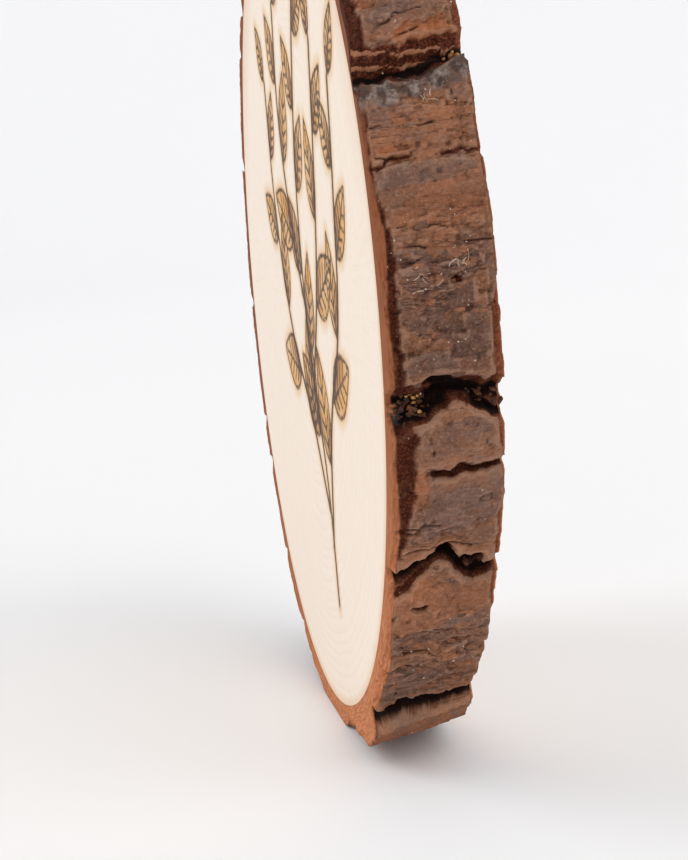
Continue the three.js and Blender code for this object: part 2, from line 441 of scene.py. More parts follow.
def furrow(path, deep, above, below, **other):  # path of (along the log, angle), then depth and widths
    return {**usualFurrow, "path": path, "deep": deep, "above": above, "below": below, **other}


nearFurrows = [
    furrow([(-7.5, 26.7), (-0.6, 26.9), (2.2, 27.8), (7.5, 29.7)], 3.9, 5.0, 2.6, taper=0.42, black=0.85,
           sheets=[(2.05, -0.6), (3.9, 0.2)]),
    furrow([(-7.5, 16.3), (-2.4, 16.6), (0, 17)], 1.1, 0.6, 1.2, stop=-1.5),
    furrow([(0, 17.1), (3, 17.4), (7.5, 17.6)], 1.1, 0.6, 1.2, start=1.5),
    furrow([(-7.5, -9.2), (-3, -8.8), (-1, -7.9), (0.6, -7.6), (3.7, -7.8), (7.5, -8.5)],
           4.0, 2.5, 2.0, lip=0.0),
    furrow([(-7.5, -10.8), (-4, -10.2), (-1.5, -9.2), (0.5, -8.2)], 3.4, 2.0, 1.5, stop=0, lip=0.0),
    furrow([(2.5, -8.4), (4.5, -9.4), (7.5, -10.6)], 2.8, 1.5, 1.2, start=3),
    furrow([(-3, -16.6), (0, -16.6), (7.5, -16.3)], 1.8, 1.3, 0.7, start=-2.6),
    furrow([(-7.5, -23.6), (-2, -22.6)], 0.9, 0.5, 0.9, stop=-2.5),
    furrow([(-7.5, -30.8), (-4.2, -29.2), (-1, -27.5), (0.7, -27.8), (2.2, -29.7), (4.1, -31.2),
            (7.5, -29.4)], 3.9, 2.4, 1.3),
    furrow([(-7.5, -33.4), (-4.5, -31.0), (-1.5, -28.6)], 1.6, 2.6, 0.5, stop=-2.0, black=0.0),
    furrow([(-7.5, -46.7), (-4.8, -45.4), (0, -44.6)], 1.4, 1.1, 1.3, stop=-2.5),
    furrow([(-1, -41.8), (5, -41.2)], 1.0, 1.0, 1.2, start=0, stop=4.5),
    furrow([(-7.5, -58.2), (-5.9, -56.8), (-3.9, -55.7), (-1.4, -55.6), (3.3, -55.8), (7.5, -55.9)],
           2.0, 0.9, 1.0, ledge=(3.3, 2.1)),
]


def farFurrows():
    found = []
    k = 0
    while bark["farStart"] + k * bark["farSpacing"] < bark["farEnd"]:
        draw = [lattice(k, n, 5) for n in range(9)]
        middle = bark["farStart"] + (k + 0.6 * (draw[1] - 0.5)) * bark["farSpacing"]
        lean = 7 * (draw[2] - 0.5)
        kink = 5 * (draw[3] - 0.5)
        path = [(-half, middle - lean), (-1 + 4 * (draw[4] - 0.5), middle + kink), (half, middle + lean)]
        deep, above, below = 1.7 + 1.9 * draw[6], 1.2 + 2.2 * draw[7], 1.2 + 1.2 * draw[8]
        found.append(furrow(path, deep, above, below, sheets=[(1.2, 1.0)]))
        k += 1
    return found


def furrowField(deg, t):
    found = {key: 0 * deg + 0 * t for key in ("depth", "lean", "plate", "paintedShade", "ledge", "sheets")}

    def keepMost(key, value):
        found[key] = np.maximum(found[key], value)

    share = t / (2 * half) + 0.5
    ragged = 1.3 * (relief(deg, t / 1.6, 150, 21) - 0.5)
    frayed = 0.5 * (relief(deg, t / 0.7, 420, 22) - 0.5)
    for one in nearFurrows + farFurrows():
        middle = np.interp(t, [p[0] for p in one["path"]], [p[1] for p in one["path"]])
        away = wrap(deg - middle) * mmPerDegree + ragged + frayed * (one["ledge"][0] == 0)
        narrow = 1 + (one["taper"] - 1) * share
        fall = np.clip(1 - np.abs(away) / np.where(away > 0, one["above"] * narrow, one["below"]), 0, 1)
        start, stop, reach = one["start"], one["stop"], one["black"]
        ends = smooth(t, start - 1, start + 1) * (1 - smooth(t, stop - 1, stop + 1))
        keepMost("depth", one["deep"] * fall ** 0.75 * ends)
        # painted shade: the inside of a deep furrow is darkened where shade falls
        black = (1 - smooth(np.abs(away), 0.25 * reach, reach + 0.01)) * smooth(one["deep"], 0.8, 3.2)
        keepMost("paintedShade", black * smooth(fall, 0.0, 0.3) * ends)
        for front, back in one["sheets"]:
            gap = front * (1 - share) + back * share
            width = 0.12 + 0.3 * relief(deg, t / 3.0, 90, 23)
            keepMost("sheets", np.exp(-((away - gap) / width) ** 2) * (fall > 0))
        overhang = np.exp(-((away - 0.8 * one["above"]) / (0.6 * one["above"])) ** 2) * (away > -0.5)
        found["lean"] = found["lean"] - one["lip"] * (one["deep"] / 3.5) * overhang * ends
        rise = one["ledge"][0] * (1 - share) + one["ledge"][1] * share
        found["ledge"] = found["ledge"] + rise * smooth(-away, 0.2, 1.2) * (1 - smooth(-away, 5, 22))
        if one["ledge"][0] > 0:
            # painted shade along the foot of the ledge's step
            keepMost("paintedShade", smooth(away, -0.95, -0.5) * (1 - smooth(away, 0.3, 0.7)))
        if start < -half:
            found["plate"] = found["plate"] + (away > 0)
    for along, angle, halfLength, halfHeight, deep in bark["hollows"]:
        far = np.hypot((t - along) / halfLength, wrap(deg - angle) * mmPerDegree / halfHeight)
        far = far + 0.6 * (relief(deg, t / 1.1, 260, 24) - 0.5)
        keepMost("depth", deep * (1 - smooth(far, 0.5, 1.1)))
        # painted shade inside the hollow
        keepMost("paintedShade", smooth(deep, 0.8, 3.2) * (1 - smooth(far, 0.5, 1.0)))
    return found


def patchField(deg, t):  # single sheets that stand up or have come away, and how warm they look
    lift = 0 * deg + 0 * t
    heat = lift.copy()
    ragged = 0.5 * (relief(deg, t / 2.2, 170, 81) - 0.5) + 0.3 * (relief(deg, t / 0.8, 480, 82) - 0.5)
    for along, angle, halfLength, halfHeight, rise, warmth, tilt in bark["patches"]:
        aside = wrap(deg - angle - tilt * (t - along)) * mmPerDegree / halfHeight
        far = (((t - along) / halfLength) ** 4 + aside ** 4) ** 0.25
        inside = 1 - smooth(far + ragged, 0.95, 1.01)
        lift = lift + rise * inside
        heat = heat + warmth * inside
    return lift, heat


def grooveField(deg, t):  # 1 in the middle of a short crack, 0 beside it
    found = 0 * deg + 0 * t
    arc = wrap(deg) * mmPerDegree + 0.5 * (relief(deg, t / 1.2, 200, 83) - 0.5)
    along = t + 0.5 * (relief(deg, t / 1.2, 200, 84) - 0.5)
    for path in bark["grooves"]:
        for (t0, deg0), (t1, deg1) in zip(path, path[1:]):
            across, up = t1 - t0, (deg1 - deg0) * mmPerDegree
            fromStart, aside = along - t0, arc - deg0 * mmPerDegree
            share = np.clip((fromStart * across + aside * up) / (across ** 2 + up ** 2), 0, 1)
            gap = np.hypot(fromStart - share * across, aside - share * up)
            found = np.maximum(found, 1 - smooth(gap, 0.04, 0.26))
    return found


def plateField(deg, column):
    table = np.array(bark["plates"])
    return np.interp(wrap(deg), table[:, 0], table[:, column])


def chipField(deg, t):
    ragged = 0.8 * (relief(deg, t, 170, 32) - 0.5) + 0.7 * (relief(deg, t / 0.6, 400, 34) - 0.5)
    front = plateField(deg, 3) * (0.6 + 0.8 * relief(deg, 0.0, 60, 31)) + ragged
    back = plateField(deg, 4) * (2.4 * relief(deg, 0.0, 60, 33) - 0.5) + 0.6 * ragged
    atFront = 1 - smooth(t + half, front - 0.2, front + 0.2)
    atBack = 1 - smooth(half - t, back - 0.2, back + 0.2)
    return np.maximum(atFront, atBack)


def wornArc(deg):  # where the sawn side of the bark is broken over its outer half
    (low, risen), (falling, gone) = bark["wornArc"]
    return smooth(deg, low, risen) * (1 - smooth(deg, falling, gone))


def bevelField(deg, t):
    front = bark["bevelFront"] * (0.4 + 1.2 * relief(deg, 0.0, 48, 35))
    return np.maximum(np.maximum(0, front - (t + half)), bark["bevelBack"] - (half - t))


def near(deg, t, spots):  # 1 at each spot, fading with its reach
    found = 0 * deg + 0 * t
    for along, angle, reach in spots:
        gap = np.hypot(t - along, wrap(deg - angle) * mmPerDegree)
        found = np.maximum(found, np.exp(-(gap / reach) ** 2))
    return found


def moodField(deg, t):
    table = np.array(sorted(bark["moods"]))
    angle = wrap(deg) + 2.5 * (relief(deg, t / 5, 90, 61) - 0.5)
    shown = smooth(angle, -95, -80) * (1 - smooth(angle, 45, 62))
    moods = []
    for k in range(1, 5):
        known = np.interp(angle, table[:, 0], table[:, k])
        moods.append(known * shown + relief(deg, t / 14, 26, 62 + k) * (1 - shown))
    return moods


def levels(height, sheet, edge):  # cuts a height into sheets with short slopes between them
    count = height / sheet
    whole = np.floor(count)
    return sheet * (whole + smooth(count - whole, 0, edge)), whole


def softened(field, reach, across):
    total = 0 * field
    for k in range(-reach, reach + 1):
        total = total + np.roll(field, k, 0)
    padded = np.pad(total / (2 * reach + 1), ((0, 0), (across, across)), mode="edge")
    width = field.shape[1]
    return sum(padded[:, k:k + width] for k in range(2 * across + 1)) / (2 * across + 1)


def barkField(deg, t):
    split = furrowField(deg, t)
    depth = split["depth"]
    lift, heat = patchField(deg, t)
    groove = grooveField(deg, t) * (0.4 + 0.6 * smooth(relief(deg, t / 2.5, 120, 85), 0.3, 0.6))
    chip = chipField(deg, t)
    bevel = bevelField(deg, t)
    warm, dark, flaky, layered = moodField(deg, t)
    foot = 1 - smooth(np.abs(wrap(deg + 90)), *bark["footFade"])
    share = t / (2 * half) + 0.5
    top = plateField(deg, 1) * (1 - share) + plateField(deg, 2) * share
    top = top + 0.6 * (relief(deg, 0.5, 22, 41) - 0.5)
    worn = 1.0 * relief(deg, t / 10, 74, 42) + 0.55 * relief(deg, t / 5, 180, 43)
    calm = 1 - 0.85 * smooth(split["ledge"], 0.02, 0.4)
    fray = 0.4 * (relief(deg, t / 2.6, 260, 44) - 0.5) + 0.2 * (relief(deg, t / 0.8, 640, 45) - 0.5)
    fray = fray * calm
    raw = top + split["ledge"] - worn - depth - bark["chipDepth"] * chip + fray + 0.35 * split["sheets"]
    step, level = levels(raw, sizes["flake"], 0.16)
    crisp = np.clip(0.25 + 0.5 * flaky + 0.4 * layered + depth + chip, 0, 1)
    step = crisp * step + (1 - crisp) * (raw - sizes["flake"] / 2)
    scaly = relief(deg, t / 3.6, 190, 48) + 0.6 * relief(deg, t / 1.3, 430, 49) - 0.8
    ridged = (0.08 + 0.35 * layered) * (relief(deg, t / 6, 330, 47) - 0.5)
    thin, thinLevel = levels((0.14 + 0.7 * flaky) * scaly + ridged, bark["thinSheet"], 0.3)
    crumb = 0.3 * (relief(deg, t / 0.45, 900, 46) - 0.5) * np.clip(chip + depth / 2.5, 0.1, 1) * calm
    rough = (step + thin + crumb + lift * (1 - chip) - 0.35 * groove - bevel) * (1 - foot)
    thick = np.maximum(sizes["barkLeast"], rough + sizes["footThickness"] * foot)
    # concavity of the bark, used in the colour as painted shade in hollows and painted highlight on ridges
    hollow = (softened(thick, 4, 3) - thick) / 0.6 + (softened(thick, 1, 1) - thick) / 0.2
    level = level.astype(np.int64) + 40
    tint = lattice(level, split["plate"].astype(np.int64), 51)
    scale = lattice(thinLevel.astype(np.int64) + 40, level, 52)
    clear = (1 - foot) * (bevel <= 0) * (split["paintedShade"] < 0.15)
    marks = {
        "sunk": depth * (1 - foot),
        "paintedShade": split["paintedShade"] * (1 - foot),
        "sheets": split["sheets"],
        "chip": chip * (1 - foot),
        "groove": groove * (1 - foot),
        "warm": np.clip(warm + heat + 0.5 * (tint - 0.5) + 0.3 * (scale - 0.5), 0, 1.6),
        "dark": dark,
        "layered": np.clip(layered + 0.6 * flaky, 0, 1),
        "flaky": flaky * (1 - chip) * clear * (depth < 1.2) * (np.abs(t) < 5.6) * (split["ledge"] < 0.2),
        "cavityShadeAndHighlight": np.clip(hollow * np.where(hollow > 0, calm, 0.3 + 0.7 * calm), -1, 1) * (1 - foot),
        "ash": near(deg, t, bark["ash"]),
        "thread": near(deg, t, bark["threads"]) * (depth < 1.5),
        "resin": near(deg, t, bark["resin"]),
        "rubble": near(deg, t, bark["rubble"]) * (depth > 0.8),
        "dust": (0.35 + flaky) * clear,
        "cut": smooth(bevel, 0.0, 0.12) * (1 - foot) * (1 - wornArc(deg)),
        # 1 near the bottom of the rim, falling to 0 towards the top
        "lowerRim": smooth(-np.abs(wrap(deg + 75)), -95, -15) + 0 * t,
    }
    return thick, split["lean"] * (1 - foot), marks


def bands(count, loops, around):  # faces between each loop and the next one
    ring = np.arange(around)
    after = (ring + 1) % around
    faces = []
    for row in range(count):
        low = row * around
        high = ((row + 1) % loops) * around
        faces.append(np.stack([low + ring, high + ring, high + after, low + after], 1))
    return np.concatenate(faces)


def meshFrom(name, points, faces, marks, material):
    piece = plainPiece(name, (points * mm).tolist(), [], faces)
    mesh = piece.data
    for key, values in marks.items():
        layer = mesh.attributes.new(key, "FLOAT", "POINT")
        layer.data.foreach_set("value", np.asarray(values, dtype=np.float32).ravel())
    mesh.materials.append(material)
    mesh.validate()
    mesh.update()
    return piece


def rimPoints(deg, radius, t):
    angle, radius, t = np.broadcast_arrays(np.radians(deg), radius, t)
    return np.stack([radius * np.cos(angle), t, np.maximum(0, pithHeight + radius * np.sin(angle))], -1)


def barkFinish():
    f = Finish("pineBark")
    spot = f.place()
    streak = f.place((1.0, 0.38, 1.0))
    x, y, z = f.split(spot)
    names = ("sunk", "paintedShade", "chip", "sheets", "groove", "warm", "dark", "layered", "cavityShadeAndHighlight", "ash", "cut")
    sunk, paintedShade, chip, sheets, groove, warm, dark, layered, cavityShadeAndHighlight, ash, cut = map(f.attribute, names)
    cloud = f.noise(spot, 0.13, 4.0)
    grain = f.noise(streak, 0.9, 6.0, 0.7)
    fine = f.noise(spot, 2.2, 6.0, 0.78)
    grit = f.cells(spot, 2.6)
    # small scales: a noise cut into levels, each with its own tone and a painted shadow line along its
    # lower edge
    scaled = f.noise(streak, 0.26, 6.0, 0.66) * 14.0
    whole = scaled.math("FLOOR", scaled)
    part = scaled.fraction()
    shade = f.node("ShaderNodeTexWhiteNoise", {"noise_dimensions": "1D"}, {"W": whole})
    scaleEdgeShadow = (1 - part.ease(0.0, 0.16)) * fine.ease(0.35, 0.6)
    # long hairlines and short cracks along the log
    strand = f.noise(f.place((1.0, 0.14, 1.0)), 0.5, 4.0, 0.62)
    hair = (1 - (strand - 0.5).size().ease(0.0, 0.02)) * cloud.ease(0.44, 0.58) * (0.2 + 0.6 * layered)
    lined = 0.12 + 0.6 * layered
    # weathered skin
    brown = (warm + (shade - 0.5) * 0.6 + (cloud - 0.5) * 1.1).ease(0.05, 0.95)
    skin = f.mix(brown, tone(140, 111, 98), tone(186, 122, 86))
    facet = f.cells(f.place((1.0, 0.55, 1.0)), 0.28, out="Color")
    skin = f.coats(skin, [
        (facet * 0.4, (112, 80, 66)),
        ((warm + (cloud - 0.5) * 0.8).ease(0.85, 1.3) * 0.75, (182, 106, 64)),
        (dark * 0.55, (84, 56, 44)),
        (shade.ease(0.55, 1.0) * 0.25, (104, 70, 55)),
        (grain.ease(0.42, 0.66) * 0.6 * lined, (88, 57, 44)),
        (cloud.ease(0.5, 0.36) * 0.4, (104, 72, 58)),
        (fine.ease(0.5, 0.7) * 0.5, (204, 158, 130)),
        (fine.ease(0.48, 0.3) * 0.6, (76, 50, 40)),
        # painted shadow under the edge of each small scale
        (scaleEdgeShadow * 0.6 * lined, (62, 39, 31)),
        (hair * 0.75, (54, 34, 27)),
        ((groove + (fine - 0.5) * 0.9).ease(0.3, 0.95) * 0.7, (50, 32, 26)),
    ])
    # dark red cork under it, in thin layers
    cork = f.mix(grit.ease(0.1, 0.6), tone(132, 66, 42), tone(72, 34, 22))
    cork = f.coats(cork, [
        (fine.ease(0.48, 0.7) * 0.6, (154, 84, 54)),
        (chip * y.ease(3.0, -3.0) * 0.4, (58, 24, 14)),
        (chip * y.ease(3.0, 6.0) * 0.6 * fine.ease(0.3, 0.6), (176, 104, 72)),
        ((sheets + (fine - 0.5) * 1.1).ease(0.45, 0.75) * 0.85, (188, 128, 96)),
    ])
    bare = (chip + (sunk + (fine - 0.5) * 0.9).ease(0.65, 1.0)).least(1.0)
    colour = f.mix(bare, skin, cork)
    # painted shade: deep furrows, hollows and ledge feet coloured near black where shade falls
    deep = (paintedShade + (fine - 0.5) * 0.5).ease(0.15, 0.75)
    colour = f.coats(colour, [
        # painted shade in concave spots and painted highlight on convex edges
        (cavityShadeAndHighlight.ease(0.1, 0.9) * 0.55 * (1 - 0.6 * bare), (48, 29, 22)),
        ((0.0 - cavityShadeAndHighlight).ease(0.1, 0.9) * 0.3 * (1 - bare * 0.8), (208, 162, 134)),
        (deep * 0.95, (19, 13, 11)),
    ])
    pale = (ash + (f.noise(streak, 0.6, 6.0, 0.72) - 0.5) * 1.6).ease(0.35, 0.95)
    blotch = f.noise(spot, 0.42, 5.0, 0.7).ease(0.42, 0.66)
    colour = f.mix(pale * 0.8, colour, f.mix(blotch, tone(72, 64, 61), tone(176, 164, 156)))
    # sawn side of the bark, fibres running round the log
    z = z - pithHeight
    radius = (x * x + z * z) ** 0.5
    ringwise = f.join(radius * 2.6, x / radius * 20, z / radius * 20)
    fibre = f.noise(ringwise, 1.0, 6.0, 0.74)
    sawn = f.mix(fibre.ease(0.3, 0.7), tone(172, 99, 63), tone(220, 148, 104))
    sawn = f.coats(sawn, [
        (f.noise(ringwise, 2.6, 3.0).ease(0.54, 0.7) * 0.6, (124, 66, 42)),
        # sawn side darker the farther it is from the bottom of the rim
        ((1 - f.attribute("lowerRim")) * 0.7, (108, 56, 34)),
    ])
    colour = f.mix(cut, colour, sawn)
    height = fine * 0.6 + grain * 0.8 * lined + (whole + part.ease(0.0, 0.2)) * 0.1
    height = height - grit * 0.35 * bare - hair * 0.5
    height = height * (1 - 0.85 * cut) + fibre * 0.35 * cut
    f.set(Base_Color=colour, Roughness=0.92 - 0.16 * fine, Specular_IOR_Level=0.08)
    f.set(Normal=f.bump(height, 0.00045))
    return f.material


def makeBark():
    around = bark["aroundSteps"]
    deg = (np.arange(around) * 360 / around)[:, None]
    (frontStrip, frontPoints), (backStrip, backPoints) = bark["edgeStrips"]
    body = np.linspace(-half + frontStrip, half - backStrip, bark["alongSteps"])
    front = np.linspace(-half, body[0], frontPoints)[:-1]
    back = np.linspace(body[-1], half, backPoints)[1:]
    t = np.concatenate([front, body, back])[None, :]
    thick, lean, marks = barkField(deg, t)
    core = woodRadius(deg)
    skinPoints = rimPoints(deg + lean / mmPerDegree * (thick / sizes["barkThickness"]), core + thick, t)
    rows = [skinPoints[:, k] for k in range(t.size)]
    values = {key: [m[:, k] for k in range(t.size)] for key, m in marks.items()}

    def sideRows(edge, edgeRow, shares):  # from the skin in to the wood, or back out
        inner = rimPoints(deg[:, 0], core[:, 0], edge)
        worn = wornArc(deg[:, 0])
        for share in shares:
            rows.append(skinPoints[:, edgeRow] * (1 - share) + inner * share)
            for key in marks:
                values[key].append(marks[key][:, edgeRow] if key == "lowerRim" else np.zeros(around))
            values["chip"][-1] = worn * (share < 0.5)
            values["cut"][-1] = 1 - values["chip"][-1]

    sideRows(half, -1, (0.04, 0.42, 0.5, 1.0))
    sideRows(-half, 0, (1.0, 0.5, 0.42, 0.04))
    flat = {key: np.concatenate(v) for key, v in values.items()}
    faces = bands(len(rows), len(rows), around).tolist()
    piece = meshFrom("barkRing", np.concatenate(rows), faces, flat, barkFinish())
    piece.data.shade_smooth()
    return piece


barkRing = makeBark()
print("bark made:", len(barkRing.data.polygons), "faces")


# loose bits on the bark: lifted flakes, rubble, pale crumbs and threads, and resin beads
bitInputs = ("Where", "Density", "Smallest", "Largest", "Tilt", "Spin", "Seed")  # in metres and radians
bits = {
    "looseFlakes": ("flaky", 700000, 0.00022, 0.0008, 0.6, 0.5, 3),
    "rubble": ("rubble", 1900000, 0.0002, 0.0006, 1.5, 3.0, 4),
    "paleCrumbs": ("dust", 130000, 0.00006, 0.00018, 3.0, 3.0, 8),
    "paleThreads": ("thread", 800000, 0.0003, 0.0008, 0.35, 2.4, 6),
    "resinBeads": ("resin", 2600000, 0.00014, 0.00044, 0.4, 3.0, 5),
}


def strewTree():
    tree = Tree("strewnBits", {
        "Geometry": "Geometry", "Bit": "Object", "Where": "String", "Density": "Float", "Smallest": "Float",
        "Largest": "Float", "Tilt": "Float", "Spin": "Float", "Seed": "Int", "Material": "Material"})
    seed = tree.given("Seed")
    where = tree.math("POWER", tree.named(tree.given("Where")), 2.0)
    spread = tree.times(tree.given("Density"), where)
    points = tree.node("GeometryNodeDistributePointsOnFaces", links={
        "Mesh": tree.given("Geometry"), "Density": spread, "Seed": seed})
    along = tree.node("FunctionNodeAlignRotationToVector", {"axis": "X", "pivot_axis": "Z"},
                      {"Rotation": points.node.outputs["Rotation"], "Vector": (0.0, 1.0, 0.0)})
    tilt, spin = tree.given("Tilt"), tree.given("Spin")
    back = tree.times(tilt, -1.0)
    turns = tree.node("ShaderNodeCombineXYZ", links={
        0: tree.random(back, tilt, seed), 1: tree.times(tree.random(back, tilt, 11), 0.5),
        2: tree.random(tree.times(spin, -1.0), spin, 12)})
    turned = tree.node("FunctionNodeRotateRotation", {"rotation_space": "LOCAL"},
                       {"Rotation": along, "Rotate By": turns})
    size = tree.random(tree.given("Smallest"), tree.given("Largest"), 13)
    stretch = tree.node("ShaderNodeCombineXYZ", links={
        0: tree.times(size, tree.random(0.7, 1.5, 14)), 1: size, 2: size})
    placed = tree.node("GeometryNodeInstanceOnPoints", links={
        "Points": points, "Instance": tree.shape("Bit"), "Rotation": turned, "Scale": stretch})
    shaded = tree.store(placed, "shade", tree.random(0.0, 1.0, 15), "INSTANCE")
    tree.finish(shaded, tree.given("Material"))
    return tree


def flakeShape():  # a thin curled scale, about two units long
    around = 7
    rim = []
    for i in range(around):
        a = 2 * math.pi * i / around
        reach = 0.75 + 0.45 * lattice(i, 3, 71)
        rim.append((reach * math.cos(a), 0.62 * reach * math.sin(a)))
    points = []
    for lift in (0.10, -0.08):
        points += [(x, y, lift + 0.16 * y * y + 0.06 * x) for x, y in rim]
    low = [around + i for i in range(around)]
    faces = [list(range(around)), low[::-1]] + bands(1, 2, around).tolist()
    return plainPiece("flake", points, [], faces)


def threadShape():  # a thin bent fibre, about two units long
    steps, sides, thick = 7, 3, 0.1
    points = []
    for k in range(steps):
        a = 1.8 * (k / (steps - 1) - 0.5)
        x, y, z = math.sin(a), 0.75 * math.cos(a) - 0.55, 0.1 * math.sin(3 * a) + 0.12
        for j in range(sides):
            turn = 2 * math.pi * j / sides
            points.append((x, y + thick * math.cos(turn), z + thick * math.sin(turn)))
    faces = [list(range(sides))[::-1], [(steps - 1) * sides + j for j in range(sides)]]
    for k in range(steps - 1):
        for j in range(sides):
            low, after = k * sides, (j + 1) % sides
            faces.append((low + j, low + after, low + sides + after, low + sides + j))
    return plainPiece("thread", points, [], faces)


def lumpShape(name, flat, jitter):  # a rough round grain
    mesh = bpy.data.meshes.new(name)
    solid = bmesh.new()
    bmesh.ops.create_icosphere(solid, subdivisions=1, radius=1.0)
    for k, corner in enumerate(solid.verts):
        corner.co *= 1 + jitter * (lattice(k, 4, 72) - 0.5)
        corner.co.z *= flat
    solid.to_mesh(mesh)
    solid.free()
    return helper(name, mesh)


def flakeFinish(name, bright):
    f = Finish(name)
    shade = f.attribute("shade")
    grain = f.noise(f.place((1.0, 0.4, 1.0)), 1.6, 6.0, 0.74)
    fine = f.noise(f.place(), 3.0, 5.0, 0.75)
    colour = f.mix(shade.ease(0.15, 0.85), tone(122, 92, 78), tone(158, 106, 78))
    colour = f.coats(colour, [
        (grain.ease(0.42, 0.66) * 0.7, (78, 50, 39)),
        (fine.ease(0.5, 0.7) * 0.4, (196, 152, 124)),
        (1 - bright * (0.75 + 0.25 * shade), (30, 20, 16)),
    ])
    f.set(Base_Color=colour, Roughness=0.92 - 0.1 * grain, Specular_IOR_Level=0.08)
    f.set(Normal=f.bump(grain, 0.0003, 0.8))
    return f.material


def crumbFinish(name, low):
    f = Finish(name)
    shade = f.attribute("shade")
    grain = f.noise(f.place(), 4.0, 4.0, 0.7)
    colour = f.mix(shade.ease(0.2, 0.8), low, tone(226, 210, 194))
    colour = f.mix(grain.ease(0.4, 0.7) * 0.4, colour, tone(120, 88, 70))
    f.set(Base_Color=colour, Roughness=0.9 - 0.1 * grain)
    return f.material


def resinFinish():
    f = Finish("amberResin")
    shade = f.attribute("shade")
    cloud = f.noise(f.place(), 2.5, 4.0, 0.6)
    colour = f.mix((shade * 0.7 + cloud * 0.4).ease(0.2, 0.9), tone(128, 70, 28), tone(214, 158, 84))
    f.set(Base_Color=colour, Roughness=0.32 + 0.3 * cloud, Coat_Weight=0.3 * shade)
    return f.material


def strewBits():
    tree = strewTree()
    shapes = [
        ("looseFlakes", flakeShape(), flakeFinish("looseFlake", 1.0)),
        ("rubble", lumpShape("chunk", 0.6, 1.0), flakeFinish("barkRubble", 0.5)),
        ("paleCrumbs", lumpShape("crumb", 0.8, 0.9), crumbFinish("paleCrumb", tone(150, 116, 94))),
        ("paleThreads", threadShape(), crumbFinish("paleThread", tone(206, 184, 160))),
        ("resinBeads", lumpShape("bead", 0.7, 0.3), resinFinish()),
    ]
    made = []
    for name, shape, material in shapes:
        inputs = {**dict(zip(bitInputs, bits[name])), "Bit": shape, "Material": material}
        made.append(helper(name, growMesh(name, barkRing, tree, inputs)))
        bpy.data.objects.remove(shape)
        print(name, "strewn:", len(made[-1].data.polygons), "faces")
    return made


strewn = strewBits()

# wood: two sawn cuts and the side under the bark
wood = {"rings": 118, "ringSpacing": 1.75}


def concentric(rings):  # points on rings of 6, 12, 18 ... and the triangles between them
    spots = [(0.0, 0.0)]
    starts = [0]
    for k in range(1, rings + 1):
        starts.append(len(spots))
        spots += [(k / rings, 360 * i / (6 * k)) for i in range(6 * k)]
    faces = []
    for k in range(1, rings + 1):
        outer, inner = starts[k], starts[k - 1]
        for sector in range(6):
            for i in range(k):
                a = outer + sector * k + i
                b = outer + (sector * k + i + 1) % (6 * k)
                c = inner + (sector * (k - 1) + i) % max(1, 6 * (k - 1))
                faces.append((a, b, c))
                if i < k - 1:
                    d = inner + (sector * (k - 1) + i + 1) % (6 * (k - 1))
                    faces.append((b, d, c))
    return np.array(spots), np.array(faces), starts[rings]


def woodFinish():
    f = Finish("sawnPine")
    spot = f.place()
    x, y, z = f.split(spot)
    z = z - pithHeight
    radius = (x * x + z * z) ** 0.5
    wander = f.noise(spot, 0.03, 2.0) * 5.0 + f.noise(f.join(radius * 0.16, 0.0, 0.0), 1.0, 2.0) * 6.0
    rings = ((radius + wander) / wood["ringSpacing"]).fraction()
    late = rings.ease(0.35, 0.92) * (1 - rings.ease(0.93, 1.0))
    rays = f.noise(f.join(x / (radius + 0.5) * 90, z / (radius + 0.5) * 90, radius * 0.12), 1.0, 3.0)
    fine = f.noise(spot, 1.8, 4.0, 0.7)
    colour = f.mix(late * (0.1 + 0.3 * y.ease(0.0, 4.0)), tone(247, 233, 218), tone(224, 194, 164))
    edge = sizes["woodRadius"]
    rim = (radius + f.noise(spot, 0.4, 3.0) * 1.6).ease(edge - 1, edge + 1)
    upper = (radius + wander).ease(62.0, 74.0) * z.ease(0.0, 50.0)
    colour = f.coats(colour, [
        (rim * 0.5, (226, 182, 132)),
        (upper * 0.6, (224, 186, 154)),
        (rays.ease(0.5, 0.75) * 0.25, (234, 213, 190)),
        (fine.ease(0.5, 0.8) * 0.2, (224, 200, 176)),
        ((1.6 - radius).ease(0.0, 0.8), (158, 112, 74)),
    ])
    front = (-5.0 - y).ease(0.0, 1.0)
    ragged = (f.noise(spot, 0.8, 3.0) - 0.5) * 0.7
    stroke = (f.attribute("strokeGap") + ragged * 0.5).ease(0.28, -0.1) * front
    halo = (f.attribute("strokeGap") + ragged).ease(2.6, -0.2) * front
    leaf = (f.attribute("leafGap") + ragged).ease(0.9, -0.1) * front
    patchy = f.noise(spot, 0.16, 3.0).ease(0.3, 0.7)
    colour = f.coats(colour, [
        (halo * 0.6, (226, 178, 108)),
        (leaf * (0.4 + 0.55 * patchy), (214, 154, 74)),
        (leaf * f.attribute("leafShade") * 0.8, (128, 82, 44)),
        (stroke * 0.92, (60, 38, 26)),
    ])
    height = late * 0.3 + fine * 0.2 - stroke * 1.6
    f.set(Base_Color=colour, Roughness=0.62 + 0.16 * fine, Specular_IOR_Level=0.3)
    f.set(Normal=f.bump(height, 0.00012, 0.6))
    return f.material


def makeWood():
    spots, faces, rimStart = concentric(wood["rings"])
    deg = spots[:, 1]
    radius = spots[:, 0] * woodRadius(deg)
    points = np.concatenate([rimPoints(deg, radius, -half), rimPoints(deg, radius, half)])
    count = len(deg)
    edge = np.arange(rimStart, count)
    after = np.roll(edge, -1)
    side = np.stack([edge, edge + count, after + count, after], 1)
    allFaces = faces.tolist() + (faces[:, ::-1] + count).tolist() + side.tolist()
    return meshFrom("woodDisc", points, allFaces, {}, woodFinish())


woodDisc = makeWood()
print("wood made:", len(woodDisc.data.polygons), "faces")


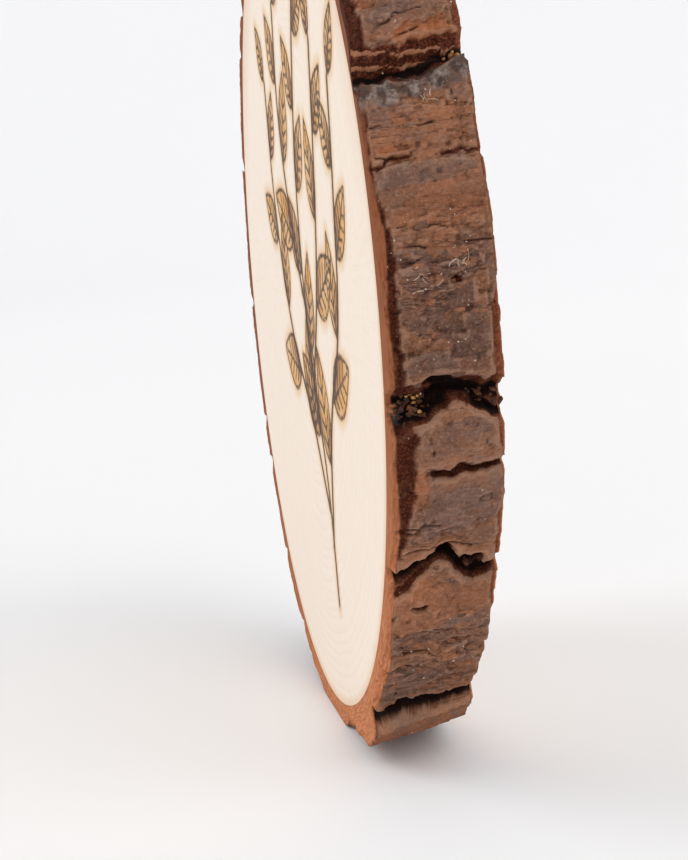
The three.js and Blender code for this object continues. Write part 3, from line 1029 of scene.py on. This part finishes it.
# burnt sprig: leaves set along stems, and how far each point of the wood is from them
sprig = {
    "inputs": {
        "Leaf Spacing": 0.0118,
        "Leaf Size": 0.0215,
        "Lean": 0.68,
        "Stem Half Width": 0.00055,
        "Line Half Width": 0.00022,
        "Seed": 4,
    },
    "stems": [  # across and up from the pith, in mm
        [(14, -49), (12, -30), (4, -10), (2, 14), (8, 36), (16, 52)],
        [(13, -40), (20, -20), (33, -4), (38, 16), (40, 32)],
        [(12, -34), (0, -20), (-14, -8), (-24, 12), (-26, 34)],
        [(3, -4), (-6, 10), (-12, 28), (-10, 46)],
        [(6, -14), (16, 2), (22, 20), (26, 38)],
    ],
}


def sprigTree():
    tree = Tree("burntSprig", {
        "Geometry": "Geometry", "Stems": "Object", "Leaf": "Object", "Veins": "Object",
        "Leaf Spacing": "Float", "Leaf Size": "Float", "Lean": "Float", "Stem Half Width": "Float",
        "Line Half Width": "Float", "Seed": "Int", "Material": "Material"})
    stems = tree.shape("Stems")
    grown = tree.store(stems, "grown", tree.node("GeometryNodeSplineParameter", out="Factor"))
    spaced = tree.node("GeometryNodeResampleCurve", {"mode": "LENGTH"},
                       {"Curve": grown, "Length": tree.given("Leaf Spacing")})
    points = tree.node("GeometryNodeCurveToPoints", {"mode": "EVALUATED"}, {"Curve": spaced})
    index = tree.node("GeometryNodeInputIndex")
    sideSign = tree.math("SUBTRACT", tree.times(tree.math("MODULO", index, 2.0), 2.0), 1.0)
    wobble = tree.random(-0.22, 0.22, tree.given("Seed"))
    angle = tree.math("ADD", tree.times(sideSign, tree.given("Lean")), wobble)
    heading = tree.node("ShaderNodeVectorRotate", {"rotation_type": "Y_AXIS"},
                        {"Vector": points.node.outputs["Tangent"], "Angle": angle})
    turn = tree.node("FunctionNodeAlignRotationToVector", {"axis": "X", "pivot_axis": "Y"},
                     {"Vector": heading})
    taper = tree.math("SUBTRACT", 1.0, tree.times(tree.named("grown"), 0.45))
    size = tree.times(tree.given("Leaf Size"), taper)
    leafy = tree.node("FunctionNodeCompare", {"data_type": "FLOAT", "operation": "GREATER_THAN"},
                      {0: tree.named("grown"), 1: 0.16})

    def setLeaves(label):
        placed = tree.node("GeometryNodeInstanceOnPoints", links={
            "Points": points, "Selection": leafy, "Instance": tree.shape(label),
            "Rotation": turn, "Scale": size})
        return tree.node("GeometryNodeRealizeInstances", links={"Geometry": placed})

    def gap(target, element):
        return tree.node("GeometryNodeProximity", {"target_element": element}, {0: target}, "Distance")

    stemLine = tree.node("GeometryNodeCurveToMesh", links={"Curve": stems})
    lines = tree.math("SUBTRACT", gap(setLeaves("Veins"), "EDGES"), tree.given("Line Half Width"))
    stalks = tree.math("SUBTRACT", gap(stemLine, "EDGES"), tree.given("Stem Half Width"))
    strokeGap = tree.times(tree.math("MINIMUM", lines, stalks), 1000.0)
    leafGap = tree.times(gap(setLeaves("Leaf"), "FACES"), 1000.0)
    shade = tree.node("ShaderNodeMapRange", links={0: tree.times(stalks, 1000.0), 1: 4.5, 2: 0.5})
    burnt = tree.store(tree.given("Geometry"), "strokeGap", strokeGap)
    burnt = tree.store(burnt, "leafGap", leafGap)
    burnt = tree.store(burnt, "leafShade", shade)
    tree.finish(burnt, tree.given("Material"))
    return tree


def stemCurves():
    data = bpy.data.curves.new("stems", "CURVE")
    data.dimensions = "3D"
    data.resolution_u = 10
    for stem in sprig["stems"]:
        spline = data.splines.new("BEZIER")
        spline.bezier_points.add(len(stem) - 1)
        for knot, (across, up) in zip(spline.bezier_points, stem):
            knot.co = Vector((across, -half, up + pithHeight)) * mm
            knot.handle_left_type = knot.handle_right_type = "AUTO"
    return helper("stems", data)


def leafShapes():  # one leaf of unit length along +X: its blade, and its drawn lines
    steps = 14
    along = np.linspace(0.08, 1, steps)
    width = 0.24 * np.sin(np.pi * np.linspace(0, 1, steps) ** 0.8) ** 0.9
    upper = [(x, 0, w) for x, w in zip(along, width)]
    lower = [(x, 0, -w) for x, w in zip(along, width)]
    rim = upper + lower[-2:0:-1]
    blade = plainPiece("leafBlade", rim, [], [list(range(len(rim)))])
    veins = [(0, 0, 0), (0.92, 0, 0)]
    edges = [(0, 1)]
    for k in (3, 5, 7, 9):
        for sign in (1, -1):
            edges.append((len(veins), len(veins) + 1))
            veins += [(along[k] - 0.1, 0, 0), (along[k] + 0.03, 0, sign * width[k] * 0.72)]
    first = len(veins)
    edges += [(first + i, first + (i + 1) % len(rim)) for i in range(len(rim))]
    return blade, plainPiece("leafLines", veins + rim, edges, [])


def burnSprig():
    stems = stemCurves()
    blade, lines = leafShapes()
    inputs = {**sprig["inputs"], "Stems": stems, "Leaf": blade, "Veins": lines}
    inputs["Material"] = woodDisc.data.materials[0]
    woodDisc.data = growMesh("woodDisc", woodDisc, sprigTree(), inputs)
    for used in (stems, blade, lines):
        bpy.data.objects.remove(used)


burnSprig()
print("sprig burnt in")

# table, backdrop and soft light
stage = {"flat": 1.1, "curve": 0.6, "height": 0.8, "curveSteps": 24, "aroundSteps": 96, "worldLight": 0.68}


def floorFinish():
    f = Finish("paleTable")
    cloud = f.noise(f.place(), 0.004, 2.0)
    colour = f.mix(cloud, tone(249, 249, 250), tone(247, 247, 248))
    f.set(Base_Color=colour, Roughness=0.7, Specular_IOR_Level=0.1)
    return f.material


def makeFloor():  # a round table that curves up into a low backdrop on all sides
    profile = [(stage["flat"], 0.0)]
    for k in range(1, stage["curveSteps"] + 1):
        a = math.pi / 2 * k / stage["curveSteps"]
        profile.append((stage["flat"] + stage["curve"] * math.sin(a), stage["curve"] * (1 - math.cos(a))))
    profile.append((stage["flat"] + stage["curve"], stage["height"]))
    around = stage["aroundSteps"]
    turns = [2 * math.pi * i / around for i in range(around)]
    points = [(reach * math.cos(a), reach * math.sin(a), z) for reach, z in profile for a in turns]
    faces = [list(range(around))] + bands(len(profile) - 1, len(profile), around).tolist()
    floor = plainPiece("table", points, [], faces)
    floor.data.materials.append(floorFinish())
    floor.data.shade_smooth()


lamps = {  # direction to the lamp, strength, width in degrees, colour
    "softLeft": ((-0.35, -0.72, 0.60), 0.88, 40, (1.0, 0.985, 0.965)),
    "softRight": ((0.62, 0.45, 0.64), 0.78, 45, (0.98, 0.985, 1.0)),
}


def makeLamp(name, toward, strength, width, colour):
    data = bpy.data.lights.new(name, "SUN")
    data.energy = strength
    data.angle = math.radians(width)
    data.color = colour
    lamp = helper(name, data)
    lamp.rotation_euler = Vector(toward).to_track_quat("Z", "Y").to_euler()


def makeLight():
    world = bpy.data.worlds.new("studio")
    world.use_nodes = True
    sky = world.node_tree.nodes["Background"]
    sky.inputs["Color"].default_value = (1, 1, 1, 1)
    sky.inputs["Strength"].default_value = stage["worldLight"]
    bpy.context.scene.world = world
    for name, lamp in lamps.items():
        makeLamp(name, *lamp)
    bpy.context.scene.view_settings.view_transform = "Standard"


makeFloor()
makeLight()
print("table and light set")

for piece, node in [(barkRing, "bark"), (woodDisc, "wood")] + [(bit, "bark") for bit in strewn]:
    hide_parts(node)
    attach(piece, "root")
